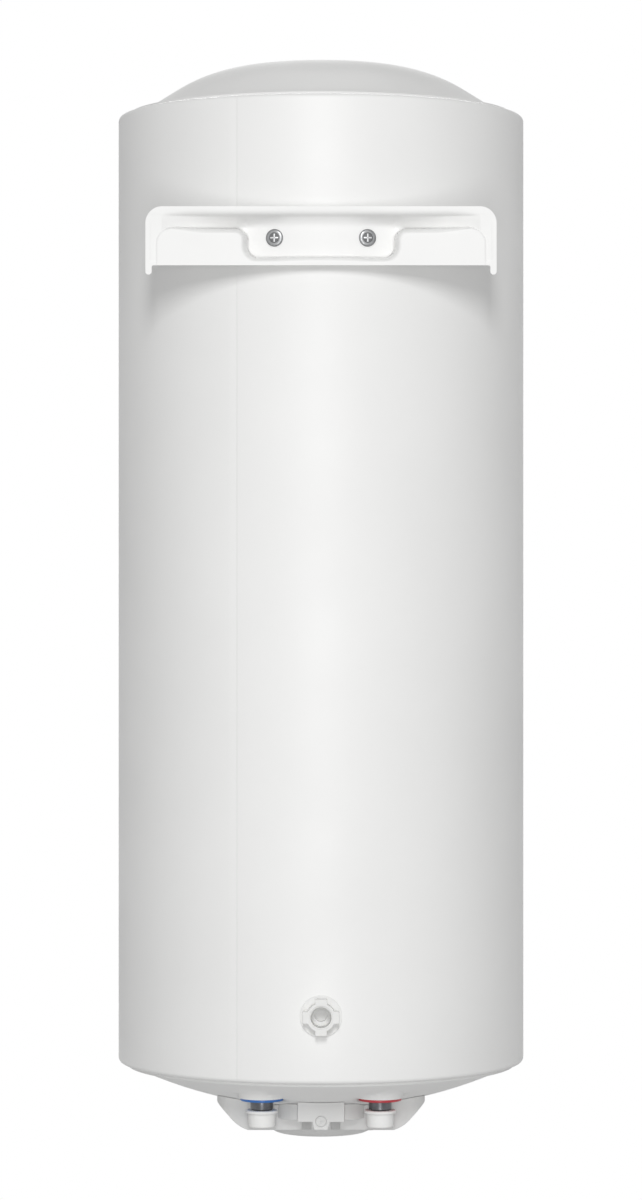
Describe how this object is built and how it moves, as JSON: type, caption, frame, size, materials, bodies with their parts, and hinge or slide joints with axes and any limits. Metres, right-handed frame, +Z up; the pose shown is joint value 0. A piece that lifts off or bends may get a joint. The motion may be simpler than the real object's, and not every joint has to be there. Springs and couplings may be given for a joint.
{
  "type": "tank water heater",
  "caption": "Upright cylindrical wall-hung electric storage water heater with domed ends, pressed rear wall bracket, lower spacer, capped cold and hot pipes and a bottom cover.",
  "frame": {"origin": "on the wall plane, on the heater's middle line, at mid height of the strip along the wall bracket's lower edge", "axes": "+Z up along the tank, +Y into the wall, +X to the cold (blue) connection"},
  "size_m": [0.445, 0.459, 1.1742],
  "materials": {
    "white_enamel": "gloss",
    "polyurethane_foam": "matte",
    "tank_steel": "satin",
    "zinc_steel": "satin",
    "pipe_steel": "satin",
    "element_sheath": "satin",
    "magnesium": "matte",
    "black_rubber": "matte",
    "white_plastic": "satin",
    "cover_plastic": "satin",
    "blue_plastic": "satin",
    "red_plastic": "satin",
    "black_plastic": "matte",
    "knob_plastic": "gloss",
    "red_lens": "gloss",
    "brown_wire": "matte",
    "blue_wire": "matte",
    "green_wire": "matte"
  },
  "bodies": {
    "heater": {"outer_shell": "white_enamel", "top_cap": "white_enamel", "bottom_cap": "white_enamel", "wall_bracket": "white_enamel", "insulation_foam": "polyurethane_foam", "tank_body": "tank_steel", "tank_top_head": "tank_steel", "tank_bottom_head": "tank_steel", "hanger_strap": "tank_steel", "hanger_bosses": "tank_steel", "flange_neck": "tank_steel", "element_flange": "tank_steel", "thermowell": "tank_steel", "hot_standpipe": "tank_steel", "bracket_screws": "zinc_steel", "flange_studs": "zinc_steel", "flange_nuts": "zinc_steel", "anode_nut": "zinc_steel", "earth_stud": "zinc_steel", "cover_screws": "zinc_steel", "cover_bracket": "zinc_steel", "cold_nipple": "pipe_steel", "hot_nipple": "pipe_steel", "element_left": "element_sheath", "element_right": "element_sheath", "anode_rod": "magnesium", "flange_gasket": "black_rubber", "cable_grommet": "black_rubber", "spacer_base": "white_plastic", "cold_diffuser": "white_plastic", "cover_posts": "white_plastic", "bottom_cover": "cover_plastic", "cold_ring": "blue_plastic", "hot_ring": "red_plastic", "thermostat_body": "black_plastic", "safety_cutout": "black_plastic", "terminal_block": "black_plastic", "lamp_holder": "black_plastic", "lamp_lens": "red_lens", "live_wire": "brown_wire", "lamp_lead": "brown_wire", "neutral_wire": "blue_wire", "earth_wire": "green_wire"},
    "knob": {"control_knob": "knob_plastic", "thermostat_spindle": "zinc_steel"},
    "reset": {"reset_button": "red_plastic"},
    "spacer_carrier": {"spacer_ring": "black_rubber"},
    "spacer": {"wall_spacer": "white_plastic"},
    "cold_plug": {"cold_cap": "white_plastic"},
    "hot_plug": {"hot_cap": "white_plastic"}
  },
  "joints": [
    {"name": "knob_turn", "type": "hinge", "parent": "heater", "child": "knob", "pos_m": [0, -0.2545, -0.935], "axis": [0, 0, -1], "range_deg": [0, 280]},
    {"name": "reset_press", "type": "slide", "parent": "heater", "child": "reset", "axis": [0, 0, 1], "range_m": [0, 0.002], "stiffness_N_per_m": 300},
    {"name": "spacer_travel", "type": "slide", "parent": "heater", "child": "spacer_carrier", "axis": [0, 1, 0], "range_m": [0, 0.01001]},
    {"name": "spacer_turn", "type": "hinge", "parent": "spacer_carrier", "child": "spacer", "pos_m": [0, 0, -0.7875], "axis": [0, 1, 0], "range_deg": [0, 360]},
    {"name": "cold_cap_pull", "type": "slide", "parent": "heater", "child": "cold_plug", "axis": [0, 0, -1], "range_m": [0, 0.06]},
    {"name": "hot_cap_pull", "type": "slide", "parent": "heater", "child": "hot_plug", "axis": [0, 0, -1], "range_m": [0, 0.06]}
  ],
  "couplings": [
    {"joint": "spacer_travel", "follows": "spacer_turn", "m_per_rad": 0.0015915}
  ]
}
